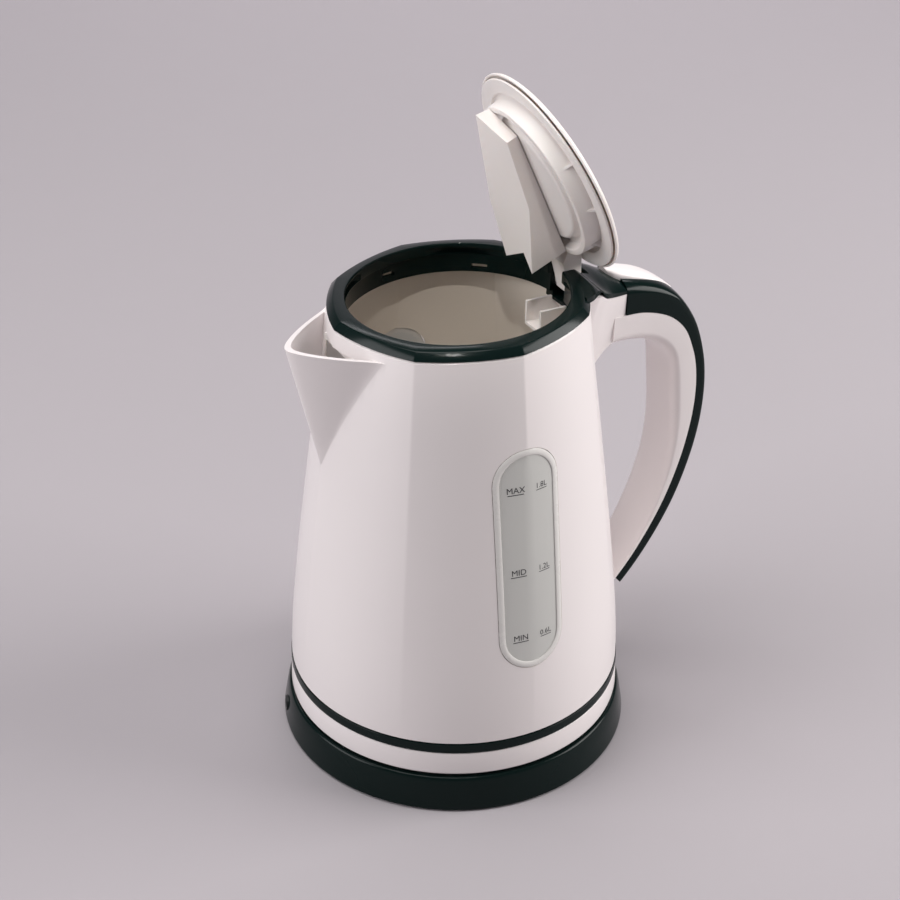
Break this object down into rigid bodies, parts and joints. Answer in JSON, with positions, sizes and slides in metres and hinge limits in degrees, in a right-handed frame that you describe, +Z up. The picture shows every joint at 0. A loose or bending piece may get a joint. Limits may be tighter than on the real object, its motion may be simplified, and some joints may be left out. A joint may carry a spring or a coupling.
{
  "type": "electric kettle",
  "caption": "Cordless electric jug kettle on a round power base, with side level windows, a loop handle, a V spout and a hinged lid standing open.",
  "frame": {"origin": "centre of the power base's underside, on the jug's swivel axis", "axes": "+Z up, +X towards the handle, -X towards the spout, the level windows face -Y and +Y"},
  "size_m": [0.2323, 0.184, 0.3459],
  "materials": {
    "white_plastic": "smooth moulded, soft sheen",
    "dark_plastic": "polished, very dark green-black",
    "inner_plastic": "satin moulded",
    "window": "translucent, smoked",
    "steel": "satin",
    "brass": "satin",
    "seal": "matt",
    "foot_rubber": "matt",
    "black_plastic": "matt"
  },
  "bodies": {
    "base": {"base_cover": "dark_plastic", "base_bottom_plate": "black_plastic", "base_socket": "black_plastic", "base_contact_inner": "brass", "base_contact_outer": "brass", "cord_gland": "black_plastic", "base_foot_1": "foot_rubber", "base_foot_2": "foot_rubber", "base_foot_3": "foot_rubber", "base_foot_4": "foot_rubber", "base_screw_1": "steel", "base_screw_2": "steel", "base_screw_3": "steel"},
    "connector": {"jug_connector": "black_plastic", "connector_pin": "brass", "connector_ring": "brass"},
    "jug": {"body_shell": "white_plastic", "handle_grip": "white_plastic", "spout_beak": "white_plastic", "bottom_skirt": "white_plastic", "stripe_ring": "dark_plastic", "heating_plate": "steel", "plate_seal": "seal", "heating_element": "steel", "thermal_controller": "black_plastic", "thermal_disc": "steel", "boil_sensor_disc": "steel", "gauge_window_front": "window", "gauge_window_rear": "window", "steam_inlet": "inner_plastic", "steam_pipe": "inner_plastic", "filter_frame": "inner_plastic", "filter_mesh": "steel", "collar": "dark_plastic", "handle_cover": "dark_plastic", "hinge_pin": "steel", "lid_spring": "steel", "button_spring": "steel", "skirt_screw_1": "steel", "skirt_screw_2": "steel", "skirt_screw_3": "steel"},
    "lid": {"lid_cover": "white_plastic", "lid_liner": "inner_plastic", "steam_duct": "inner_plastic"},
    "button": {"lid_button": "white_plastic"},
    "latch": {"latch_slider": "inner_plastic"},
    "switch": {"power_switch": "dark_plastic"}
  },
  "joints": [
    {"name": "jug_lift", "type": "slide", "parent": "base", "child": "connector", "axis": [0, 0, 1], "range_m": [0, 0.05]},
    {"name": "jug_swivel", "type": "hinge", "parent": "connector", "child": "jug", "pos_m": [0, 0, 0.0274], "axis": [0, 0, 1], "continuous": true},
    {"name": "lid_hinge", "type": "hinge", "parent": "jug", "child": "lid", "pos_m": [0.0628, 0, 0.2356], "axis": [0, -1, 0], "range_deg": [0, 67.53], "stiffness_Nm_per_rad": 0.03, "springref_deg": -68.75},
    {"name": "button_slide", "type": "slide", "parent": "jug", "child": "button", "axis": [0, 0, -1], "range_m": [0, 0.003], "stiffness_N_per_m": 500, "springref_m": -0.002, "deforming": ["button_spring"]},
    {"name": "latch_slide", "type": "slide", "parent": "jug", "child": "latch", "axis": [-1, 0, 0], "range_m": [0, 0.0015]},
    {"name": "switch_rocker", "type": "hinge", "parent": "jug", "child": "switch", "pos_m": [0.078, 0, 0.0273], "axis": [0, 1, 0], "range_deg": [0, 9]}
  ],
  "couplings": [
    {"joint": "latch_slide", "follows": "button_slide", "ratio": 0.5}
  ]
}
